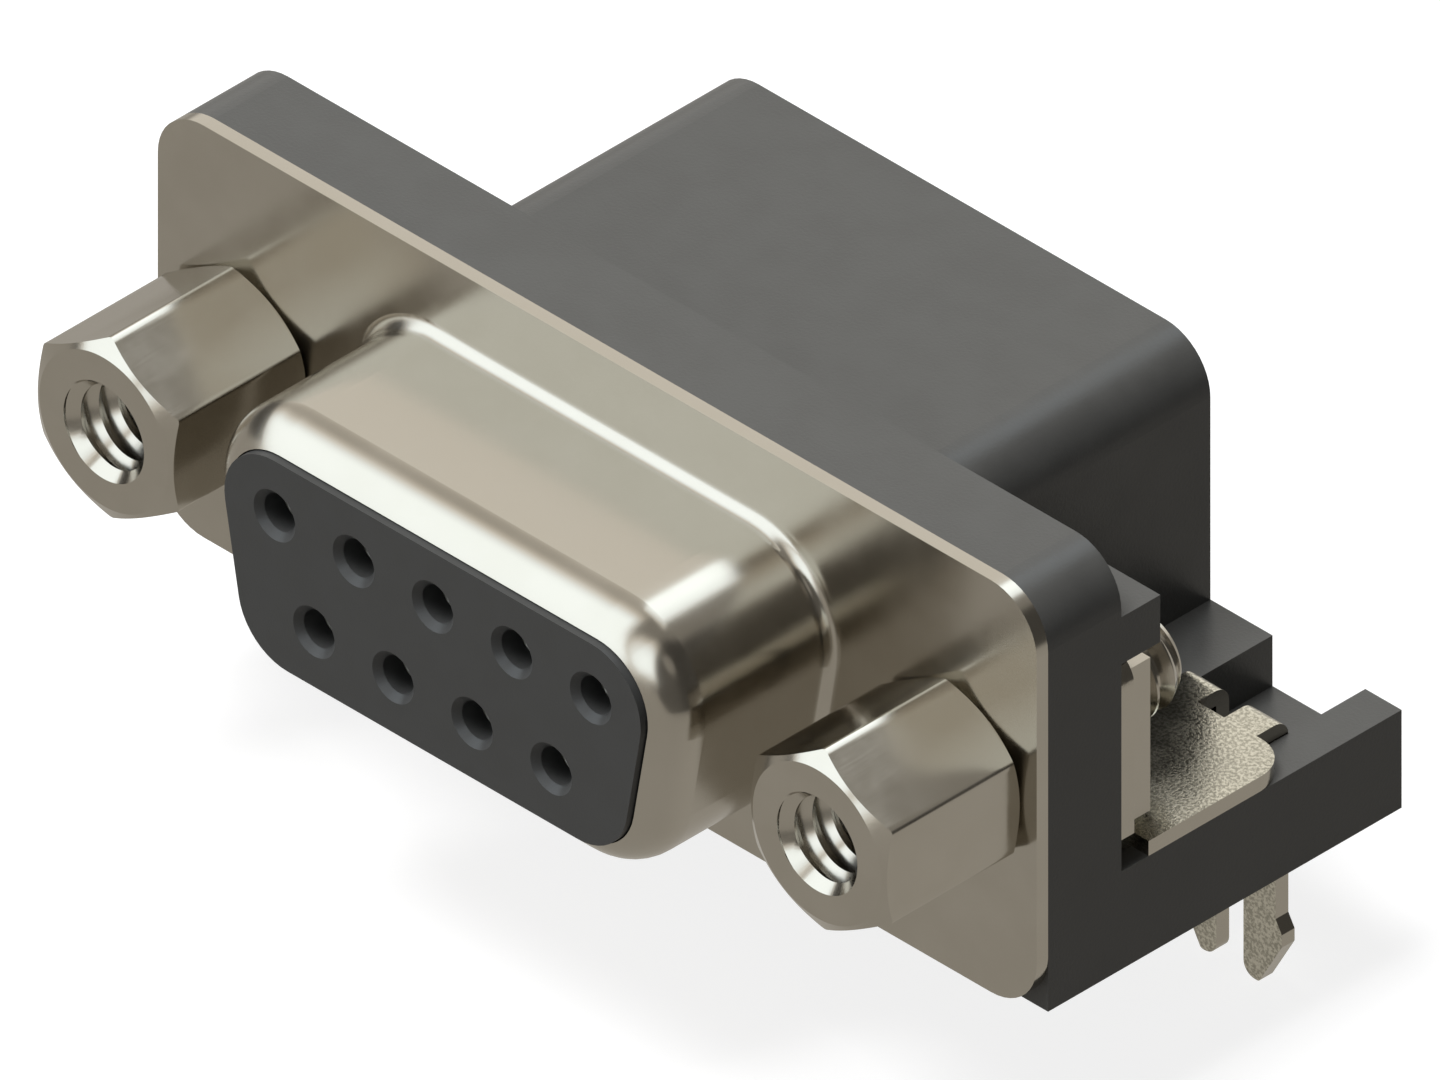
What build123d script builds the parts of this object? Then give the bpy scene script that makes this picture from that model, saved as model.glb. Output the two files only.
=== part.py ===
from build123d import *
from math import radians, tan
import os

# A right-angle connector for a board: nine sockets in a D-shaped metal nose. Sizes in millimetres.
# +X is to the right as seen from the mating side, +Y to the rear and +Z up. The origin is on the
# board plane, below the middle of the front face of the metal flange.

# Pattern of the contacts
contact_pitch = 2.77
row_spacing = 2.84

# Metal shell
ear_width = 6.7
flange_margin = 2.3
flange_corner = 1.6
shell_sheet = 0.4
nose_side_margin = 2.625
nose_top_margin = 2.53
nose_corner = 2.6
nose_slant = 10.0
nose_length = 5.63
nose_root = 0.38
nose_roll = 1.25
mouth_inset = 0.83

# Jackscrews, with a 4-40 thread at both ends
jack_inset = 2.9
hex_flats = 4.76
hex_length = 4.8
hex_chamfer_inset = 0.13
hex_chamfer_angle = 30.0
thread_radius = 1.42
tap_radius = 1.13
socket_mouth_radius = 1.42
tap_depth = 4.3
stud_length = 6.85
stud_point = 0.75
stud_clearance = 0.15
thread_clearance = 0.05

# Rear housing
ear_thickness = 2.57
block_side_margin = 0.535
block_top_margin = 0.49
block_round = 1.57
housing_depth = 12.39
wall = 0.7
foot_height = 2.97
lip_height = 1.43
lip_depth = 1.36
channel_side_gap = 0.025
channel_front_gap = 0.62
channel_floor = 1.43
fork_hole_margin = 0.25
bay_front_margin = 1.325

# Front insulator
insulator_proud = 0.14
insulator_fit = 0.04
insulator_rim = 1.1
insulator_rim_thickness = 1.3
cavity_radius = 0.87
entry_radius = 0.54
entry_mouth_radius = 0.73
entry_length = 0.85

# Socket contacts
barrel_radius = 0.8
barrel_bore_radius = 0.53
barrel_bore_depth = 5.0
barrel_mouth = 0.12
tine_slot_width = 0.2
tine_slot_length = 3.6
barrel_length = 6.4
tail_radius = 0.36
tail_bend = 1.1
tail_length = 3.6
tail_point = 0.15
tail_row_spacing = 2.54

# Tail spacer
spacer_thickness = 1.2
spacer_recess = 0.15
spacer_fit = 0.05
tail_hole_fit = 0.04
tail_funnel = 0.2

# Board locks
bracket_sheet = 0.45
leg_top_gap = 0.06
leg_corner = 0.78
bracket_bend = 0.5
bend_relief = 0.6
plate_setback = 0.05
shoulder_flat = 0.17
fork_width = 3.2
fork_slit = 0.95
fork_inset = 2.67
fork_bend = 0.05
prong_root = 2.0
barb_reach = 0.22
barb_top = -2.47
barb_slope = 0.38
barb_flat = 0.38
barb_round = 0.1
prong_tip = -4.65
prong_tip_width = 0.545
prong_tip_round = 0.4
prong_tip_corner = 0.12

# Nut plates
nut_width = 5.0
nut_top_gap = 0.63
nut_bottom_gap = 0.51
nut_thickness = 0.96
nut_boss_radius = 2.0
nut_boss_fit = 0.02
nut_boss_length = 0.45

# How close an edge lies to the place where it is picked
pick_reach = 0.01

# Places that follow from the sizes above
nose_width = 4 * contact_pitch + 2 * nose_side_margin
nose_height = row_spacing + 2 * nose_top_margin
flange_height = nose_height + 2 * flange_margin
mating_height = flange_height / 2
block_width = nose_width + 2 * block_side_margin
block_height = mating_height + nose_height / 2 + block_top_margin
flange_width = block_width + 2 * ear_width
jack_x = flange_width / 2 - jack_inset
ear_back = shell_sheet + ear_thickness
housing_rear = shell_sheet + housing_depth
block_inner_front = ear_back + wall
insulator_inset = shell_sheet + insulator_fit
rim_back = shell_sheet + insulator_rim_thickness
bay_half_width = block_width / 2 - wall
bay_rear = housing_rear - wall
bay_ceiling = block_height - wall
bracket_width = 2 * jack_inset
shoulder = (bracket_width - fork_width) / 2
bracket_top = block_height - lip_height - leg_top_gap
leg_back = ear_back + bracket_sheet
plate_top = foot_height + bracket_sheet
fork_rear = housing_rear - fork_inset
fork_front = fork_rear - bracket_sheet
fork_middle = fork_rear - bracket_sheet / 2
channel_width = fork_width + 2 * channel_side_gap
channel_front = fork_front - channel_front_gap
plate_rear = channel_front - plate_setback
nut_top = bracket_top - nut_top_gap
nut_bottom = plate_top + nut_bottom_gap
insulator_face = -(nose_length + insulator_proud)
entry_back = insulator_face + entry_length
upper_row = mating_height + row_spacing / 2
lower_row = mating_height - row_spacing / 2
rear_tails = fork_middle + tail_row_spacing / 2
front_tails = fork_middle - tail_row_spacing / 2
bay_front = front_tails - bay_front_margin


def facing(depth):
    """Sketch plane at a depth behind the metal flange, seen from the mating side."""
    return Plane.XZ.offset(-depth)


def d_outline(inset):
    """The D of the metal nose, wide side up, drawn in on all sides by inset."""
    height = nose_height - 2 * inset
    corner = nose_corner - inset
    arc_centre = nose_width / 2 - nose_corner
    half_top = arc_centre + corner * tan(radians(45 + nose_slant / 2))
    half_bottom = half_top - height * tan(radians(nose_slant))
    with BuildSketch(mode=Mode.PRIVATE) as outline:
        with BuildLine():
            Polyline(
                (-half_top, height / 2),
                (half_top, height / 2),
                (half_bottom, -height / 2),
                (-half_bottom, -height / 2),
                close=True,
            )
        make_face()
        fillet(outline.vertices(), corner)
    return outline.sketch


def finish(piece, name):
    """Label one piece and write it."""
    piece.part.label = name
    export_step(piece.part, f"parts/{name}.step")


os.makedirs("parts", exist_ok=True)
sides = {"left": -1, "right": 1}
jack_spots = [(side * jack_x, mating_height) for side in sides.values()]
upper_spots = [((2 - i) * contact_pitch, upper_row, rear_tails) for i in range(5)]
lower_spots = [((1.5 - i) * contact_pitch, lower_row, front_tails) for i in range(4)]
contact_spots = upper_spots + lower_spots


# Front shell: a flange and a drawn, hollow nose of one sheet, rolled in at its tip
with BuildPart() as front_shell:
    with BuildSketch(facing(0)):
        with Locations((0, mating_height)):
            RectangleRounded(flange_width, flange_height, flange_corner)
    extrude(amount=-shell_sheet)
    with BuildSketch(facing(0)):
        with Locations((0, mating_height)):
            add(d_outline(0))
    extrude(amount=nose_length)
    flange_front = front_shell.faces().filter_by(Axis.Y).group_by(Axis.Y)[1][0]
    fillet(flange_front.inner_wires().edges(), nose_root)
    fillet(front_shell.faces().sort_by(Axis.Y)[0].edges(), nose_roll)
    with BuildSketch(facing(shell_sheet)):
        with Locations((0, mating_height)):
            add(d_outline(shell_sheet))
    extrude(amount=nose_length, mode=Mode.SUBTRACT)
    hollow_end = front_shell.faces().filter_by(Axis.Y).group_by(Axis.Y)[1][0]
    fillet(hollow_end.edges(), nose_roll - shell_sheet)
    flange_back = front_shell.faces().filter_by(Axis.Y).group_by(Axis.Y)[-1][0]
    fillet(flange_back.inner_wires().edges(), nose_root + shell_sheet)
    with BuildSketch(facing(0)):
        with Locations((0, mating_height)):
            add(d_outline(mouth_inset))
    extrude(amount=nose_length, mode=Mode.SUBTRACT)
    with BuildSketch(facing(0)):
        with Locations(*jack_spots):
            Circle(thread_radius + stud_clearance)
    extrude(amount=-shell_sheet, mode=Mode.SUBTRACT)
finish(front_shell, "front_shell")

# Front insulator: a D-shaped block with a rim behind the flange and nine stepped cavities
with BuildPart() as front_insulator:
    with BuildSketch(facing(block_inner_front)):
        with Locations((0, mating_height)):
            add(d_outline(insulator_inset))
    extrude(amount=block_inner_front + nose_length - shell_sheet - insulator_fit)
    nose_end = front_insulator.faces().sort_by(Axis.Y)[0]
    fillet(nose_end.edges(), nose_roll - insulator_inset)
    with BuildSketch(facing(0)):
        with Locations((0, mating_height)):
            add(d_outline(mouth_inset + insulator_fit))
    extrude(amount=-insulator_face)
    with BuildSketch(facing(rim_back)):
        with Locations((0, mating_height)):
            add(d_outline(-insulator_rim))
    extrude(amount=insulator_rim_thickness - insulator_fit)
    with BuildSketch(facing(block_inner_front)):
        with Locations(*[(x, z) for x, z, tail_y in contact_spots]):
            Circle(cavity_radius)
    extrude(amount=block_inner_front - entry_back, mode=Mode.SUBTRACT)
    with BuildSketch(facing(entry_back)):
        with Locations(*[(x, z) for x, z, tail_y in contact_spots]):
            Circle(entry_radius)
    extrude(amount=entry_length, mode=Mode.SUBTRACT)
    entry_rims = front_insulator.faces().sort_by(Axis.Y)[0].inner_wires().edges()
    chamfer(entry_rims, entry_mouth_radius - entry_radius)
finish(front_insulator, "front_insulator")

# Rear housing: flange, block, lips and foot in one moulding
with BuildPart() as rear_housing:
    with BuildSketch(facing(shell_sheet)) as ear_outline:
        with Locations((0, mating_height)):
            Rectangle(flange_width, flange_height)
        fillet(ear_outline.vertices().group_by(Axis.Y)[-1], flange_corner)
    extrude(amount=-ear_thickness)
    with BuildSketch(facing(ear_back)) as block_outline:
        with Locations((0, block_height / 2)):
            Rectangle(block_width, block_height)
        fillet(block_outline.vertices().group_by(Axis.Y)[-1], block_round)
    extrude(amount=ear_back - housing_rear)
    with BuildSketch(facing(ear_back)):
        with Locations((0, block_height - lip_height / 2)):
            Rectangle(flange_width, lip_height)
    extrude(amount=-lip_depth)
    with BuildSketch(facing(ear_back)):
        with Locations((0, foot_height / 2)):
            Rectangle(flange_width, foot_height)
    extrude(amount=ear_back - housing_rear)
    # Channel for each fork, open to the rear, with a hole through its floor
    with BuildSketch(Plane.XY.offset(foot_height)):
        for side in sides.values():
            with Locations((side * jack_x, (channel_front + housing_rear) / 2)):
                Rectangle(channel_width, housing_rear - channel_front)
    extrude(amount=channel_floor - foot_height, mode=Mode.SUBTRACT)
    with BuildSketch(Plane.XY.offset(channel_floor)):
        for side in sides.values():
            with Locations((side * jack_x, fork_middle)):
                Rectangle(channel_width, bracket_sheet + 2 * fork_hole_margin)
    extrude(amount=-channel_floor, mode=Mode.SUBTRACT)
    # Bay for the bent contacts, open below for their tails
    with BuildSketch(Plane.YZ) as bay_profile:
        with BuildLine():
            Polyline(
                (bay_front, 0),
                (bay_rear, 0),
                (bay_rear, bay_ceiling),
                (block_inner_front, bay_ceiling),
                (block_inner_front, foot_height),
                (bay_front, foot_height),
                close=True,
            )
        make_face()
    extrude(amount=bay_half_width, both=True, mode=Mode.SUBTRACT)
    bay_top = rear_housing.edges().filter_by(Axis.Y).filter_by(
        lambda e: abs(e.center().Z - bay_ceiling) < pick_reach
    )
    fillet(bay_top, block_round - wall)
    # Seat for the insulator's rim, and the way through for its rear end
    with BuildSketch(facing(shell_sheet)):
        with Locations((0, mating_height)):
            add(d_outline(-insulator_rim - insulator_fit))
    extrude(amount=-insulator_rim_thickness, mode=Mode.SUBTRACT)
    with BuildSketch(facing(rim_back)):
        with Locations((0, mating_height)):
            add(d_outline(insulator_inset - insulator_fit))
    extrude(amount=rim_back - block_inner_front, mode=Mode.SUBTRACT)
    with BuildSketch(facing(shell_sheet)):
        with Locations(*jack_spots):
            Circle(thread_radius + stud_clearance)
    extrude(amount=-ear_thickness, mode=Mode.SUBTRACT)
finish(rear_housing, "rear_housing")

# Socket contacts, numbered from the right in the upper row, then in the lower row
for number, (x, z, tail_y) in enumerate(contact_spots, start=1):
    with BuildPart() as contact:
        barrel_start = entry_back + insulator_fit
        barrel_end = barrel_start + barrel_length
        with BuildSketch(facing(barrel_end)):
            with Locations((x, z)):
                Circle(barrel_radius)
        extrude(amount=barrel_length)
        with BuildSketch(facing(barrel_start)):
            with Locations((x, z)):
                Circle(barrel_bore_radius)
        extrude(amount=-barrel_bore_depth, mode=Mode.SUBTRACT)
        mouth = contact.faces().sort_by(Axis.Y)[0].inner_wires().edges()
        chamfer(mouth, barrel_mouth)
        with BuildSketch(facing(barrel_start)):
            with Locations((x, z)):
                Rectangle(tine_slot_width, 2 * barrel_radius)
        extrude(amount=-tine_slot_length, mode=Mode.SUBTRACT)
        with BuildLine() as wire_path:
            FilletPolyline(
                (x, barrel_end, z),
                (x, tail_y, z),
                (x, tail_y, -tail_length),
                radius=tail_bend,
            )
        with BuildSketch(facing(barrel_end)):
            with Locations((x, z)):
                Circle(tail_radius)
        sweep(path=wire_path.line)
        chamfer(contact.faces().sort_by(Axis.Z)[0].edges(), tail_point)
    finish(contact, f"contact_{number}")

# Tail spacer: a comb plate in the mouth of the bay, with a funnel above each hole
with BuildPart() as tail_spacer:
    spacer_front = bay_front + spacer_fit
    spacer_rear = bay_rear - spacer_fit
    with BuildSketch(Plane.XY.offset(spacer_recess)):
        with Locations((0, (spacer_front + spacer_rear) / 2)):
            Rectangle(2 * (bay_half_width - spacer_fit), spacer_rear - spacer_front)
    extrude(amount=spacer_thickness)
    with BuildSketch(Plane.XY.offset(spacer_recess)):
        with Locations(*[(x, tail_y) for x, z, tail_y in contact_spots]):
            Circle(tail_radius + tail_hole_fit)
    extrude(amount=spacer_thickness, mode=Mode.SUBTRACT)
    funnel_rims = tail_spacer.faces().sort_by(Axis.Z)[-1].inner_wires().edges()
    chamfer(funnel_rims, tail_funnel)
finish(tail_spacer, "tail_spacer")

for name, side in sides.items():
    middle = side * jack_x

    # Board lock: a leg behind the ear, a plate on the foot and a fork down through the board
    with BuildPart() as boardlock:
        with BuildSketch(Plane.YZ.offset(middle)):
            with BuildLine():
                FilletPolyline(
                    (ear_back, bracket_top),
                    (ear_back, foot_height),
                    (fork_front, foot_height),
                    (fork_front, prong_root),
                    radius=(bracket_bend + bracket_sheet, fork_bend),
                )
                offset(amount=bracket_sheet, side=Side.LEFT)
            make_face()
        extrude(amount=bracket_width / 2, both=True)
        # Beside the fork the plate stops short, with rounded corners
        with BuildSketch(Plane.XY):
            for edge in (-1, 1):
                with Locations((middle + edge * (fork_width + shoulder) / 2, (plate_rear + fork_rear) / 2)):
                    Rectangle(shoulder, fork_rear - plate_rear)
            with Locations((middle, (plate_rear + fork_rear) / 2)):
                Rectangle(fork_slit, fork_rear - plate_rear)
        extrude(amount=plate_top, mode=Mode.SUBTRACT)
        shoulder_corners = boardlock.edges().filter_by(Axis.Z).filter_by(
            lambda e: abs(abs(e.center().X - middle) - bracket_width / 2) < pick_reach
            and abs(e.center().Y - plate_rear) < pick_reach
        )
        fillet(shoulder_corners, shoulder - shoulder_flat)
        leg_corners = boardlock.edges().filter_by(Axis.Y).group_by(Axis.Z)[-1]
        fillet(leg_corners, leg_corner)
        # Relief at both ends of the first bend
        bend_reach = bracket_bend + bracket_sheet
        for edge in (-1, 1):
            with BuildSketch(Plane.YZ.offset(middle + edge * bracket_width / 2)):
                with Locations((ear_back, foot_height)):
                    Rectangle(bend_reach, bend_reach, align=(Align.MIN, Align.MIN))
            extrude(amount=-edge * bend_relief, mode=Mode.SUBTRACT)
        with BuildSketch(facing(ear_back)):
            with Locations((middle, mating_height)):
                Circle(nut_boss_radius)
        extrude(amount=-bracket_sheet, mode=Mode.SUBTRACT)
        # Two barbed prongs
        with BuildSketch(Plane((middle, fork_rear, 0), x_dir=(1, 0, 0), z_dir=(0, -1, 0))) as prongs:
            with BuildLine():
                Polyline(
                    (fork_slit / 2, prong_root),
                    (fork_width / 2, prong_root),
                    (fork_width / 2, barb_top),
                    (fork_width / 2 + barb_reach, barb_top - barb_slope),
                    (fork_width / 2 + barb_reach, barb_top - barb_slope - barb_flat),
                    (fork_slit / 2 + prong_tip_width, prong_tip),
                    (fork_slit / 2, prong_tip),
                    close=True,
                )
            make_face()
            fillet(prongs.vertices().group_by(Axis.X)[-1], barb_round)
            fillet(prongs.vertices().group_by(Axis.Y)[0].sort_by(Axis.X)[0], prong_tip_round)
            fillet(prongs.vertices().group_by(Axis.Y)[0].sort_by(Axis.X)[-1], prong_tip_corner)
            mirror(about=Plane.YZ)
        extrude(amount=bracket_sheet)
    finish(boardlock, f"boardlock_{name}")

    # Nut plate: a tapped plate behind the leg, its boss clinched in the leg's hole
    with BuildPart() as nut_plate:
        with BuildSketch(facing(leg_back)):
            with Locations((middle, (nut_bottom + nut_top) / 2)):
                Rectangle(nut_width, nut_top - nut_bottom)
        extrude(amount=-nut_thickness)
        with BuildSketch(facing(leg_back)):
            with Locations((middle, mating_height)):
                Circle(nut_boss_radius - nut_boss_fit)
        extrude(amount=nut_boss_length)
        with BuildSketch(facing(leg_back - nut_boss_length)):
            with Locations((middle, mating_height)):
                Circle(thread_radius + thread_clearance)
        extrude(amount=-(nut_boss_length + nut_thickness), mode=Mode.SUBTRACT)
    finish(nut_plate, f"nut_plate_{name}")

    # Jackscrew: a hexagon, corner up, tapped in front, with a pointed stud behind
    with BuildPart() as jackscrew:
        with BuildSketch(facing(0)):
            with Locations((middle, mating_height)):
                RegularPolygon(hex_flats / 2, 6, major_radius=False, rotation=30)
        extrude(amount=hex_length)
        turning_plane = Plane(origin=(middle, 0, mating_height), x_dir=(1, 0, 0), z_dir=(0, 0, -1))
        turning_axis = Axis((middle, 0, mating_height), (0, -1, 0))
        hex_face = hex_flats / 2 - hex_chamfer_inset
        cone_rise = (hex_flats - hex_face) * tan(radians(hex_chamfer_angle))
        with BuildSketch(turning_plane):
            with BuildLine():
                Polyline(
                    (0, 0),
                    (hex_face, 0),
                    (hex_flats, cone_rise),
                    (hex_flats, hex_length - cone_rise),
                    (hex_face, hex_length),
                    (0, hex_length),
                    close=True,
                )
            make_face()
        revolve(axis=turning_axis, mode=Mode.INTERSECT)
        with BuildSketch(turning_plane):
            with BuildLine():
                Polyline(
                    (0, hex_length - tap_depth - tap_radius * tan(radians(hex_chamfer_angle))),
                    (tap_radius, hex_length - tap_depth),
                    (tap_radius, hex_length - (socket_mouth_radius - tap_radius)),
                    (socket_mouth_radius, hex_length),
                    (0, hex_length),
                    close=True,
                )
            make_face()
        revolve(axis=turning_axis, mode=Mode.SUBTRACT)
        with BuildSketch(turning_plane):
            with BuildLine():
                Polyline(
                    (0, 0),
                    (thread_radius, 0),
                    (thread_radius, stud_point - stud_length),
                    (tap_radius, -stud_length),
                    (0, -stud_length),
                    close=True,
                )
            make_face()
        revolve(axis=turning_axis)
    finish(jackscrew, f"jackscrew_{name}")
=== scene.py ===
import math

import bmesh
import bpy
from mathutils import Matrix, Vector


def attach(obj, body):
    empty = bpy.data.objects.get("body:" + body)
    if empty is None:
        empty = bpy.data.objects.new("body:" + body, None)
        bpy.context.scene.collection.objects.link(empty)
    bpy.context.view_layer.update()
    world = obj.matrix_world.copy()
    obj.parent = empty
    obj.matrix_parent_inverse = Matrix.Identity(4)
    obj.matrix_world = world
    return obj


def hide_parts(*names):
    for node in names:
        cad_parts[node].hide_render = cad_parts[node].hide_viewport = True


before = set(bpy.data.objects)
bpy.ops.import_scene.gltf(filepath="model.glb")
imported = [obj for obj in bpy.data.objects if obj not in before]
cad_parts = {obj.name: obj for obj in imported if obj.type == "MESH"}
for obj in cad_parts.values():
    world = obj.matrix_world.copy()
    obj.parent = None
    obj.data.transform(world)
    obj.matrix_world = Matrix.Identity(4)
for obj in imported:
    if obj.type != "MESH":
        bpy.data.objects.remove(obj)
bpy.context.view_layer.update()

# Studio: a pale table just below the part's prongs, and a level view along the cube diagonal
# that shows the mating side, the right end and the top at once. Polished metal sees two soft
# screens in front with a dark gap between them, a strip above the rear, a grey ceiling, a small
# window on the right and the table. The camera sees white.
MM = 0.001
VIEW_WIDTH = 35.68 * MM
VIEW_CENTRE = Vector((0.0, 4.303, 4.667)) * MM
TO_CAMERA = Vector((1.0, -1.0, 1.0)).normalized()
CAMERA_DISTANCE = 0.3
TABLE_HEIGHT = -4.72 * MM
TABLE_SIZE = 1.6

camera_data = bpy.data.cameras.new("camera")
camera_data.type = "ORTHO"
camera_data.ortho_scale = VIEW_WIDTH
camera_data.clip_start = 0.01
camera_data.clip_end = 10.0
camera = bpy.data.objects.new("camera", camera_data)
camera.location = VIEW_CENTRE + TO_CAMERA * CAMERA_DISTANCE
camera.rotation_euler = TO_CAMERA.to_track_quat("Z", "Y").to_euler()
bpy.context.scene.collection.objects.link(camera)
bpy.context.scene.camera = camera
bpy.context.scene.view_settings.view_transform = "Standard"


class Nodes:
    """Short way to write a node tree: add a node, give its inputs, take its outputs."""

    def __init__(self, tree):
        self.tree = tree

    def add(self, kind, inputs=None, **settings):
        node = self.tree.nodes.new(kind)
        for name, value in settings.items():
            setattr(node, name, value)
        for key, value in (inputs or {}).items():
            if isinstance(value, bpy.types.NodeSocket):
                self.tree.links.new(value, node.inputs[key])
            else:
                node.inputs[key].default_value = value
        return node

    def maths(self, operation, *values):
        node = self.add("ShaderNodeMath", dict(enumerate(values)), operation=operation)
        return node.outputs[0]

    def mix_in(self, value, other, share):
        """The value plus a share of another."""
        return self.maths("MULTIPLY_ADD", other, share, value)

    def product(self, first, *others):
        for other in others:
            first = self.maths("MULTIPLY", first, other)
        return first

    def total(self, first, *others):
        for other in others:
            first = self.maths("ADD", first, other)
        return first

    def fade(self, value, low, high, start=0.0, end=1.0):
        """Start below low, end above high and a smooth change between."""
        inputs = {"Value": value, "From Min": low, "From Max": high, "To Min": start, "To Max": end}
        node = self.add("ShaderNodeMapRange", inputs, interpolation_type="SMOOTHSTEP")
        return node.outputs["Result"]

    def along(self, vector, direction):
        node = self.add("ShaderNodeVectorMath", {0: vector, 1: direction}, operation="DOT_PRODUCT")
        return node.outputs["Value"]

    def blend(self, factor, first, second):
        node = self.add("ShaderNodeMix", {"Factor": factor}, data_type="RGBA")
        for socket, value in ((node.inputs[6], first), (node.inputs[7], second)):
            if isinstance(value, bpy.types.NodeSocket):
                self.tree.links.new(value, socket)
            else:
                socket.default_value = value
        return node.outputs[2]


# Brightness that polished metal sees in each direction: 1 is white paper
LEFT_SCREEN = 1.5
RIGHT_SCREEN = 1.8
STRIP = 1.9
CEILING_LEFT = 0.65
CEILING_RIGHT = 0.33
REAR_GLOW = 0.46
WINDOW = 0.25
WINDOW_AIM = (0.77, -0.27, 0.58)
DIM_WALL = 0.08
RIGHT_WALL = 0.06
TABLE_NEAR = 0.45
TABLE_FAR = 0.49
SCREEN_COLOUR = (0.925, 1.015, 1.08, 1.0)
ROOM_COLOUR = (1.04, 0.99, 0.9, 1.0)
# Brightness that matt surfaces receive from all round
FILL = 0.08
TABLE_GREY = (0.3, 0.3, 0.3, 1.0)
TABLE_LIFT = 0.83

world = bpy.data.worlds.new("studio")
world.use_nodes = True
world.node_tree.nodes.clear()
sky = Nodes(world.node_tree)
ray = sky.add("ShaderNodeTexCoord").outputs["Generated"]
parts = sky.add("ShaderNodeSeparateXYZ", {0: ray})
across, rearward, upward = parts.outputs[0], parts.outputs[1], parts.outputs[2]
left_end = sky.fade(sky.mix_in(across, upward, 0.35), -0.85, -0.72)
right_end = sky.fade(across, 0.45, 0.56, 1.0, 0.0)
ceiling = sky.fade(across, -0.1, 0.06, CEILING_LEFT - DIM_WALL, CEILING_RIGHT - DIM_WALL)
ceiling = sky.product(ceiling, left_end, right_end)
rear_depth = sky.fade(rearward, 0.44, 0.54)
rear_glow = sky.product(rear_depth, sky.fade(across, -0.2, -0.35), left_end, REAR_GLOW)
strip_near = sky.fade(sky.mix_in(across, rearward, 0.5), -0.06, 0.01)
strip_far = sky.fade(sky.mix_in(across, rearward, 0.6), 0.45, 0.53, 1.0, 0.0)
strip_depth = sky.product(sky.fade(rearward, 0.25, 0.55), sky.fade(rearward, 0.62, 0.8, 1.0, 0.25))
strip = sky.product(strip_depth, strip_near, strip_far, STRIP)
window = sky.fade(sky.along(ray, WINDOW_AIM), 0.98, 0.99, 0.0, WINDOW)
left_depth = sky.mix_in(rearward, sky.fade(across, -0.7, -0.86), -0.2)
left_gap = sky.fade(sky.mix_in(across, rearward, -0.15), -0.08, 0.02, 1.0, 0.0)
left_screen = sky.product(sky.fade(left_depth, 0.25, -0.42), left_end, left_gap, LEFT_SCREEN)
right_depth = sky.mix_in(sky.maths("MULTIPLY", across, 0.9), rearward, -1.0)
right_gap = sky.fade(sky.mix_in(across, rearward, -0.33), 0.13, 0.33)
right_screen = sky.product(sky.fade(right_depth, 0.42, 1.12), right_end, right_gap, RIGHT_SCREEN)
screen_foot = sky.fade(sky.mix_in(upward, across, -0.4), -0.12, 0.15)
screens = sky.product(sky.maths("ADD", left_screen, right_screen), screen_foot)
right_wall = sky.product(sky.fade(across, 0.45, 0.56), sky.fade(rearward, 0.0, -0.45), RIGHT_WALL)
overhead = sky.total(ceiling, rear_glow, strip, window, right_wall, DIM_WALL)
horizon = sky.mix_in(upward, sky.fade(across, 0.3, 0.8), 0.3)
above_table = sky.fade(horizon, -0.08, 0.02)
below_horizon = sky.fade(horizon, -0.08, 0.02, 1.0, 0.0)
table_glow = sky.product(sky.fade(rearward, -0.4, 0.4, TABLE_NEAR, TABLE_FAR), below_horizon)
brightness = sky.total(table_glow, sky.product(overhead, above_table), screens)
light_path = sky.add("ShaderNodeLightPath")
matt = light_path.outputs["Is Diffuse Ray"]
lit = sky.add("ShaderNodeMix", {"Factor": matt, "A": brightness, "B": FILL}, data_type="FLOAT")
level = lit.outputs["Result"]
seen = light_path.outputs["Is Camera Ray"]
shown = sky.add("ShaderNodeMix", {"Factor": seen, "A": level, "B": 1.0}, data_type="FLOAT")
level = shown.outputs["Result"]
tint = sky.blend(sky.fade(brightness, 0.85, 1.95), ROOM_COLOUR, SCREEN_COLOUR)
tint = sky.blend(light_path.outputs["Is Glossy Ray"], (1.0, 1.0, 1.0, 1.0), tint)
background = sky.add("ShaderNodeBackground", {"Color": tint, "Strength": level})
sky.add("ShaderNodeOutputWorld", {"Surface": background.outputs[0]})
bpy.context.scene.world = world

LAMP_AIM = Vector((-0.12, -0.28, 0.95)).normalized()
LAMP_DISTANCE = 0.6
LAMP_SIZE = 0.3
LAMP_POWER = 4.6

lamp_data = bpy.data.lights.new("overhead_softbox", "AREA")
lamp_data.shape = "SQUARE"
lamp_data.size = LAMP_SIZE
lamp_data.energy = LAMP_POWER
lamp = bpy.data.objects.new("overhead_softbox", lamp_data)
lamp.location = VIEW_CENTRE + LAMP_AIM * LAMP_DISTANCE
lamp.rotation_euler = LAMP_AIM.to_track_quat("Z", "Y").to_euler()
lamp.visible_glossy = False
bpy.context.scene.collection.objects.link(lamp)

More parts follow.
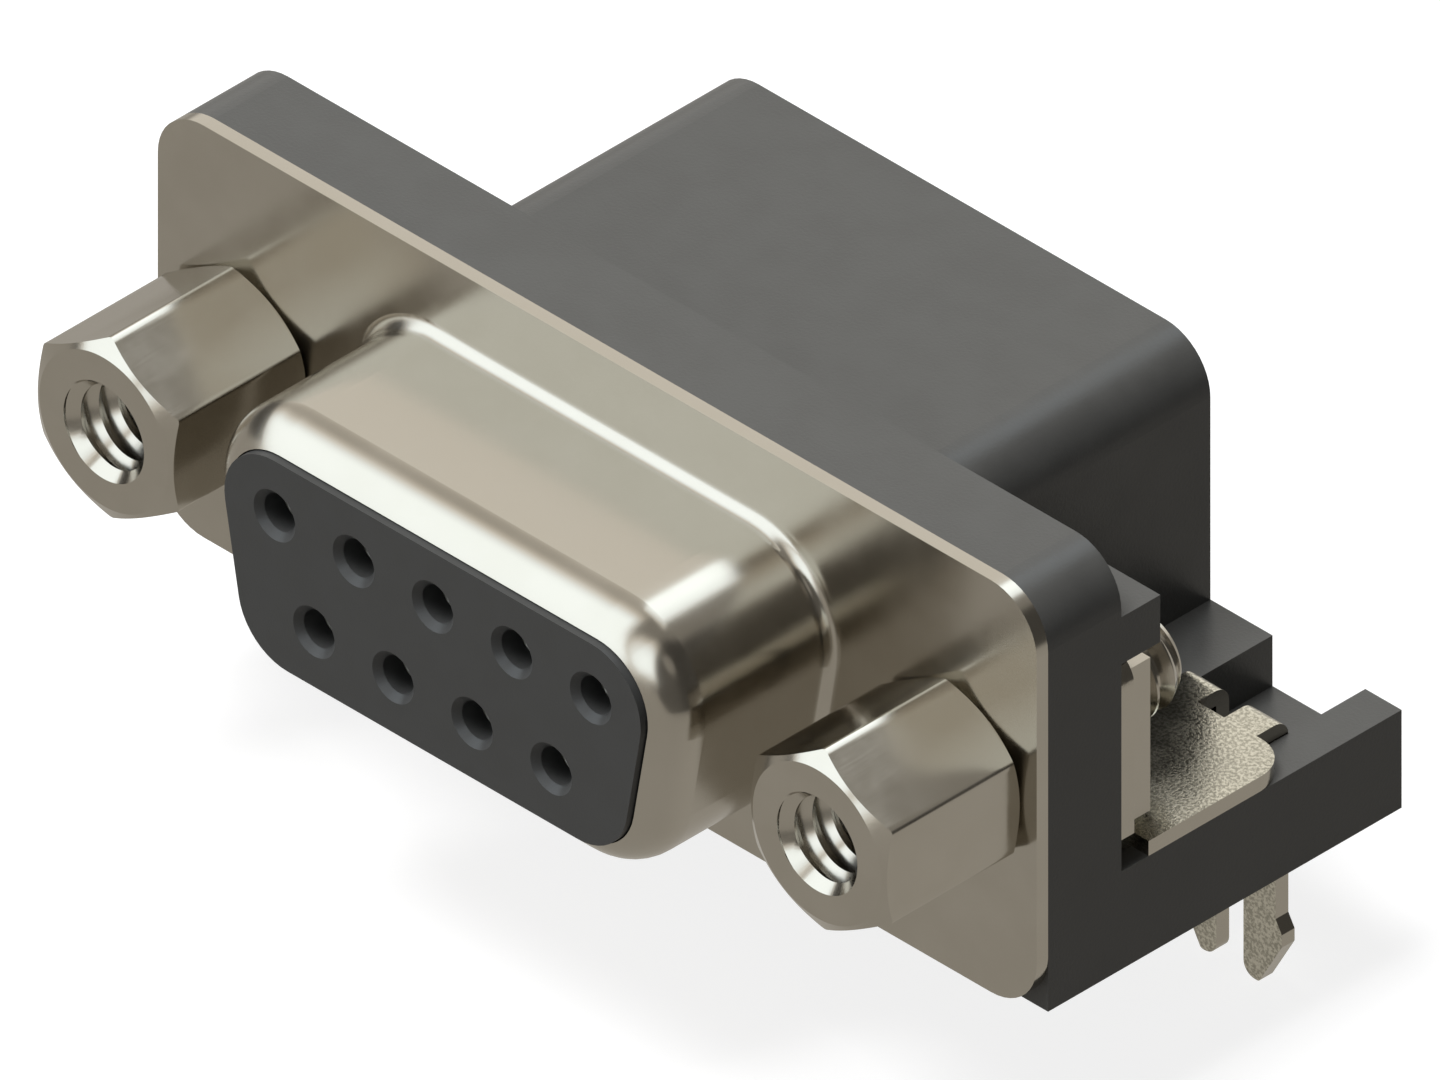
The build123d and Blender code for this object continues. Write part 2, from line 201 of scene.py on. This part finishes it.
table_mesh = bpy.data.meshes.new("table")
top = bmesh.new()
place = Matrix.Translation((0, 0, TABLE_HEIGHT))
bmesh.ops.create_grid(top, x_segments=1, y_segments=1, size=TABLE_SIZE / 2, matrix=place)
top.to_mesh(table_mesh)
top.free()
table = bpy.data.objects.new("table", table_mesh)
table.visible_glossy = False
bpy.context.scene.collection.objects.link(table)
table_paint = bpy.data.materials.new("table_paint")
table_paint.use_nodes = True
table_paint.node_tree.nodes.clear()
paint = Nodes(table_paint.node_tree)
light_path = paint.add("ShaderNodeLightPath")
matt_side = paint.add("ShaderNodeBsdfDiffuse", {"Color": TABLE_GREY})
lift = paint.add("ShaderNodeEmission", {"Strength": TABLE_LIFT})
shown = paint.add("ShaderNodeAddShader", {0: matt_side.outputs[0], 1: lift.outputs[0]})
unseen = paint.add("ShaderNodeEmission", {"Strength": FILL})
seen = light_path.outputs["Is Camera Ray"]
surface = paint.add("ShaderNodeMixShader", {0: seen, 1: unseen.outputs[0], 2: shown.outputs[0]})
paint.add("ShaderNodeOutputMaterial", {"Surface": surface.outputs[0]})
table_mesh.materials.append(table_paint)


# Rear housing: one moulding of black glass-filled nylon. Its skin has a very fine spark texture
# from the tool, a little uneven gloss, and slightly paler patches at random.
def grain_group():
    """Fine random texture: a height for the bump and a slow cloud, both 0 to 1."""
    tree = bpy.data.node_groups.new("grain", "ShaderNodeTree")
    tree.interface.new_socket("Size", in_out="INPUT", socket_type="NodeSocketFloat")
    for name in ("Height", "Cloud"):
        tree.interface.new_socket(name, in_out="OUTPUT", socket_type="NodeSocketFloat")
    build = Nodes(tree)
    size = build.add("NodeGroupInput").outputs["Size"]
    place = build.add("ShaderNodeTexCoord").outputs["Object"]
    fine = build.maths("DIVIDE", 1.0, size)
    coarse = build.maths("MULTIPLY", fine, 0.06)
    height = build.add(
        "ShaderNodeTexNoise",
        {"Vector": place, "Scale": fine, "Detail": 3.0, "Roughness": 0.6},
    )
    cloud = build.add(
        "ShaderNodeTexNoise",
        {"Vector": place, "Scale": coarse, "Detail": 4.0, "Roughness": 0.55},
    )
    build.add("NodeGroupOutput", {"Height": height.outputs[0], "Cloud": cloud.outputs[0]})
    return tree


GRAIN = grain_group()
PLASTIC = (0.06, 0.06, 0.0575, 1.0)
PLASTIC_WORN = (0.069, 0.069, 0.066, 1.0)
PLASTIC_ROUGHNESS = 0.36
PLASTIC_GRAIN = 0.09 * MM
PLASTIC_RELIEF = 0.01 * MM
PLASTIC_IOR = 1.45


def plastic(name, dark, pale, gloss, grain, bump):
    paint = bpy.data.materials.new(name)
    paint.use_nodes = True
    paint.node_tree.nodes.clear()
    mix = Nodes(paint.node_tree)
    texture = mix.add("ShaderNodeGroup", node_tree=GRAIN)
    texture.inputs["Size"].default_value = grain
    colour = mix.blend(mix.fade(texture.outputs["Cloud"], 0.3, 0.7), dark, pale)
    rough = mix.fade(texture.outputs["Cloud"], 0.25, 0.75, gloss - 0.04, gloss + 0.05)
    relief = mix.add(
        "ShaderNodeBump",
        {"Height": texture.outputs["Height"], "Strength": bump, "Distance": PLASTIC_RELIEF},
    )
    body = mix.add(
        "ShaderNodeBsdfPrincipled",
        {"Base Color": colour, "Roughness": rough, "IOR": PLASTIC_IOR, "Normal": relief.outputs[0]},
    )
    mix.add("ShaderNodeOutputMaterial", {"Surface": body.outputs[0]})
    return paint


def dress(material, *names):
    for name in names:
        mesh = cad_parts[name].data
        if not mesh.materials:
            mesh.materials.append(material)
        for index in range(len(mesh.materials)):
            mesh.materials[index] = material


housing_nylon = plastic("housing_nylon", PLASTIC, PLASTIC_WORN, PLASTIC_ROUGHNESS, PLASTIC_GRAIN, 0.5)
dress(housing_nylon, "rear_housing")

# Front insulator and tail spacer: the same nylon from smoother tools, so a little glossier. The
# insulator holds the nine sockets, and the spacer lines up their tails below the housing.
INSULATOR = (0.041, 0.042, 0.042, 1.0)
INSULATOR_WORN = (0.047, 0.048, 0.048, 1.0)
INSULATOR_ROUGHNESS = 0.42
INSULATOR_GRAIN = 0.06 * MM

insulator_nylon = plastic(
    "insulator_nylon", INSULATOR, INSULATOR_WORN, INSULATOR_ROUGHNESS, INSULATOR_GRAIN, 0.3
)
dress(insulator_nylon, "front_insulator", "tail_spacer")


# Front shell: deep-drawn steel sheet with a satin nickel plate. The draw leaves the nose smooth
# and bright, with faint flow marks along its length and a slightly milky flange.
METAL_RELIEF = 0.002 * MM


def metal(name, base, tint, gloss, grain, bump, flow=(1.0, 1.0, 1.0)):
    paint = bpy.data.materials.new(name)
    paint.use_nodes = True
    paint.node_tree.nodes.clear()
    mix = Nodes(paint.node_tree)
    texture = mix.add("ShaderNodeGroup", node_tree=GRAIN)
    texture.inputs["Size"].default_value = grain
    place = mix.add("ShaderNodeTexCoord").outputs["Object"]
    stretched = mix.add("ShaderNodeVectorMath", {0: place, 1: flow}, operation="MULTIPLY").outputs[0]
    marks = mix.add("ShaderNodeTexNoise", {"Vector": stretched, "Scale": 1.0 / grain, "Detail": 2.0})
    colour = mix.blend(mix.fade(texture.outputs["Cloud"], 0.3, 0.7), base, tint)
    rough = mix.fade(texture.outputs["Cloud"], 0.25, 0.75, gloss - 0.03, gloss + 0.04)
    height = mix.maths("ADD", mix.maths("MULTIPLY", texture.outputs["Height"], 0.4), marks.outputs[0])
    relief = mix.add("ShaderNodeBump", {"Height": height, "Strength": bump, "Distance": METAL_RELIEF})
    body = mix.add(
        "ShaderNodeBsdfPrincipled",
        {"Base Color": colour, "Roughness": rough, "Metallic": 1.0, "Normal": relief.outputs[0]},
    )
    mix.add("ShaderNodeOutputMaterial", {"Surface": body.outputs[0]})
    return paint


NICKEL = (0.455, 0.425, 0.37, 1.0)
NICKEL_PALE = (0.475, 0.445, 0.39, 1.0)
dress(metal("shell_plating", NICKEL, NICKEL_PALE, 0.2, 0.12 * MM, 0.25, (1.0, 0.12, 1.0)), "front_shell")

# Socket contacts: copper alloy turned on a lathe and tinned, nine of them, seen only through the
# entries in front and as tails below.
TIN = (0.44, 0.43, 0.38, 1.0)
TIN_PALE = (0.5, 0.49, 0.44, 1.0)
contact_names = [f"contact_{number}" for number in range(1, 10)]
dress(metal("contact_tin", TIN, TIN_PALE, 0.34, 0.05 * MM, 0.3), *contact_names)

# Board locks and nut plates: blanked and bent brass sheet with a bright spangled tin coat, and a
# nickel-plated tapped plate clinched behind each leg.
SPANGLE = 0.095 * MM
SPANGLE_DEPTH = 0.001 * MM
SPANGLE_DARK = (0.35, 0.335, 0.28, 1.0)
SPANGLE_PALE = (0.62, 0.595, 0.51, 1.0)


def spangled(name, base, tint, gloss):
    paint = bpy.data.materials.new(name)
    paint.use_nodes = True
    paint.node_tree.nodes.clear()
    mix = Nodes(paint.node_tree)
    texture = mix.add("ShaderNodeGroup", node_tree=GRAIN)
    texture.inputs["Size"].default_value = SPANGLE
    normal = mix.add("ShaderNodeTexCoord").outputs["Normal"]
    facing = mix.add("ShaderNodeSeparateXYZ", {0: normal}).outputs[0]
    cut_edge = mix.fade(mix.maths("ABSOLUTE", facing), 0.5, 0.8)
    flecks = mix.fade(texture.outputs["Height"], 0.4, 0.6)
    colour = mix.blend(cut_edge, mix.blend(flecks, base, tint), NICKEL)
    rough = mix.fade(texture.outputs["Cloud"], 0.3, 0.7, gloss - 0.04, gloss + 0.06)
    relief = mix.add("ShaderNodeBump", {"Height": flecks, "Strength": 1.0, "Distance": SPANGLE_DEPTH})
    body = mix.add(
        "ShaderNodeBsdfPrincipled",
        {"Base Color": colour, "Roughness": rough, "Metallic": 1.0, "Normal": relief.outputs[0]},
    )
    mix.add("ShaderNodeOutputMaterial", {"Surface": body.outputs[0]})
    return paint


dress(spangled("bracket_tin", SPANGLE_DARK, SPANGLE_PALE, 0.17), "boardlock_left", "boardlock_right")
dress(metal("nut_nickel", NICKEL, NICKEL_PALE, 0.24, 0.1 * MM, 0.3), "nut_plate_left", "nut_plate_right")

# Jackscrews: hexagon brass bar turned, threaded inside and out and nickel plated. Both ends of
# the hexagon are chamfered, so its flats end in arcs. The thread is right-handed, 40 to the inch.
JACK_X = 12.5
JACK_Z = 6.25
HEX_FLATS = 4.76
HEX_LENGTH = 4.8
HEX_FACE_RADIUS = HEX_FLATS / 2 - 0.13
CHAMFER_SLOPE = math.tan(math.radians(30))
HEX_EDGE = 0.08
PITCH = 0.635
MAJOR_RADIUS = 1.42
MINOR_RADIUS = 1.13
TAP_DEPTH = 4.3
STUD_LENGTH = 6.85
STUD_POINT = 0.75
ROUND_STEPS = 96
# Points closer than this are one point
WELD = 0.0005
# How far a cutter reaches past the face that it cuts
OVERRUN = 0.3
DRILL_RADIUS = MINOR_RADIUS - 0.01
SHARP_ANGLE = math.radians(25)


def thread_solid(start, end, crest, root):
    """Closed rod along +Y from start to end whose side is a right-handed V thread."""
    rod = bmesh.new()
    turns = math.ceil((end - start) / PITCH) + 3
    first = start - 1.5 * PITCH
    corners = []
    for turn in range(turns + 1):
        low = first + turn * PITCH
        corners += [
            Vector((root, low, 0)),
            Vector((root, low + 0.125 * PITCH, 0)),
            Vector((crest, low + 0.5 * PITCH, 0)),
            Vector((crest, low + 0.625 * PITCH, 0)),
        ]
    corners = [rod.verts.new(corner) for corner in corners]
    outline = [rod.edges.new(pair) for pair in zip(corners, corners[1:])]
    bmesh.ops.spin(
        rod,
        geom=corners + outline,
        cent=(0, 0, 0),
        axis=(0, 1, 0),
        dvec=(0, PITCH / ROUND_STEPS, 0),
        angle=math.tau,
        steps=ROUND_STEPS,
    )
    bmesh.ops.remove_doubles(rod, verts=rod.verts, dist=WELD)
    for place, normal in ((start, (0, -1, 0)), (end, (0, 1, 0))):
        whole = rod.verts[:] + rod.edges[:] + rod.faces[:]
        cut = bmesh.ops.bisect_plane(
            rod, geom=whole, plane_co=(0, place, 0), plane_no=normal, clear_outer=True
        )
        rim = [item for item in cut["geom_cut"] if isinstance(item, bmesh.types.BMEdge)]
        bmesh.ops.edgeloop_fill(rod, edges=rim)
    bmesh.ops.recalc_face_normals(rod, faces=rod.faces)
    return rod


def turned_solid(corners):
    """Closed solid of the profile (radius, y) turned about the Y axis."""
    solid = bmesh.new()
    points = [solid.verts.new((radius, y, 0)) for radius, y in corners]
    outline = [solid.edges.new(pair) for pair in zip(points, points[1:])]
    bmesh.ops.spin(
        solid,
        geom=points + outline,
        cent=(0, 0, 0),
        axis=(0, 1, 0),
        angle=math.tau,
        steps=ROUND_STEPS,
        use_merge=True,
    )
    bmesh.ops.remove_doubles(solid, verts=solid.verts, dist=WELD)
    bmesh.ops.recalc_face_normals(solid, faces=solid.faces)
    return solid


def solid_object(solid, name):
    mesh = bpy.data.meshes.new(name)
    solid.to_mesh(mesh)
    solid.free()
    piece = bpy.data.objects.new(name, mesh)
    bpy.context.scene.collection.objects.link(piece)
    return piece


def joined(base, steps):
    """The base with each (operation, tool) carried out in turn, as one plain mesh."""
    for operation, tool in steps:
        cut = base.modifiers.new("cut", "BOOLEAN")
        cut.operation = operation
        cut.object = tool
        cut.solver = "EXACT"
    bpy.context.view_layer.update()
    settled = base.evaluated_get(bpy.context.evaluated_depsgraph_get())
    result = bpy.data.meshes.new_from_object(settled)
    for leftover in [base] + [tool for operation, tool in steps]:
        bpy.data.objects.remove(leftover)
    return result


def jackscrew_mesh():
    bar = bmesh.new()
    bmesh.ops.create_cone(
        bar,
        cap_ends=True,
        segments=6,
        radius1=HEX_FLATS / math.sqrt(3),
        radius2=HEX_FLATS / math.sqrt(3),
        depth=HEX_LENGTH,
        matrix=Matrix.Translation((0, -HEX_LENGTH / 2, 0)) @ Matrix.Rotation(math.radians(90), 4, "X"),
    )
    long_edges = [edge for edge in bar.edges if abs(edge.verts[0].co.y - edge.verts[1].co.y) > 1]
    bmesh.ops.bevel(
        bar,
        geom=long_edges,
        offset=HEX_EDGE,
        offset_type="OFFSET",
        affect="EDGES",
        segments=2,
        profile=0.5,
        material=-1,
    )
    bmesh.ops.recalc_face_normals(bar, faces=bar.faces)
    rise = (HEX_FLATS - HEX_FACE_RADIUS) * CHAMFER_SLOPE
    cones = turned_solid(
        [
            (0, 0),
            (HEX_FACE_RADIUS, 0),
            (HEX_FLATS, -rise),
            (HEX_FLATS, rise - HEX_LENGTH),
            (HEX_FACE_RADIUS, -HEX_LENGTH),
            (0, -HEX_LENGTH),
        ]
    )
    mouth_depth = MAJOR_RADIUS - MINOR_RADIUS
    mouth = turned_solid(
        [
            (0, -HEX_LENGTH - 0.2),
            (MAJOR_RADIUS + 0.2, -HEX_LENGTH - 0.2),
            (MINOR_RADIUS - 0.1, mouth_depth + 0.1 - HEX_LENGTH),
            (0, mouth_depth + 0.1 - HEX_LENGTH),
        ]
    )
    drill_end = TAP_DEPTH - HEX_LENGTH
    drill = turned_solid(
        [
            (0, drill_end + MINOR_RADIUS * CHAMFER_SLOPE),
            (DRILL_RADIUS, drill_end),
            (DRILL_RADIUS, -HEX_LENGTH - OVERRUN),
            (0, -HEX_LENGTH - OVERRUN),
        ]
    )
    tap = thread_solid(-HEX_LENGTH - OVERRUN, drill_end - 0.4, MAJOR_RADIUS, MINOR_RADIUS)
    stud_thread = thread_solid(0.0, STUD_LENGTH - 0.001, MAJOR_RADIUS, MINOR_RADIUS)
    stud_end = turned_solid(
        [
            (0, 0.6),
            (MAJOR_RADIUS + 0.3, 0.6),
            (MAJOR_RADIUS + 0.3, STUD_LENGTH - STUD_POINT - 0.3),
            (MINOR_RADIUS, STUD_LENGTH),
            (0, STUD_LENGTH),
        ]
    )
    shank = turned_solid(
        [
            (0, -0.1),
            (MAJOR_RADIUS, -0.1),
            (MAJOR_RADIUS, 0.65),
            (MINOR_RADIUS - 0.05, 0.95),
            (0, 0.95),
        ]
    )
    stud_cut = ("INTERSECT", solid_object(stud_end, "stud_end"))
    stud_part = joined(solid_object(stud_thread, "stud_thread"), [stud_cut])
    stud = bpy.data.objects.new("stud", stud_part)
    bpy.context.scene.collection.objects.link(stud)
    return joined(
        solid_object(bar, "hexagon"),
        [
            ("INTERSECT", solid_object(cones, "cones")),
            ("UNION", solid_object(shank, "shank")),
            ("UNION", stud),
            ("DIFFERENCE", solid_object(drill, "drill")),
            ("DIFFERENCE", solid_object(tap, "tap")),
            ("DIFFERENCE", solid_object(mouth, "mouth")),
        ],
    )


hex_plating = metal("jackscrew_plating", NICKEL, NICKEL_PALE, 0.17, 0.1 * MM, 0.3, (1.0, 0.1, 1.0))
jackscrew_shape = jackscrew_mesh()
for side, sign in (("left", -1), ("right", 1)):
    mesh = jackscrew_shape.copy()
    mesh.name = f"jackscrew_threaded_{side}"
    mesh.transform(Matrix.Scale(MM, 4) @ Matrix.Translation((sign * JACK_X, 0, JACK_Z)))
    mesh.materials.clear()
    mesh.materials.append(hex_plating)
    mesh.shade_smooth()
    mesh.set_sharp_from_angle(angle=SHARP_ANGLE)
    screw = bpy.data.objects.new(mesh.name, mesh)
    bpy.context.scene.collection.objects.link(screw)
    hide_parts(f"jackscrew_{side}")
    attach(screw, f"jackscrew_{side}")
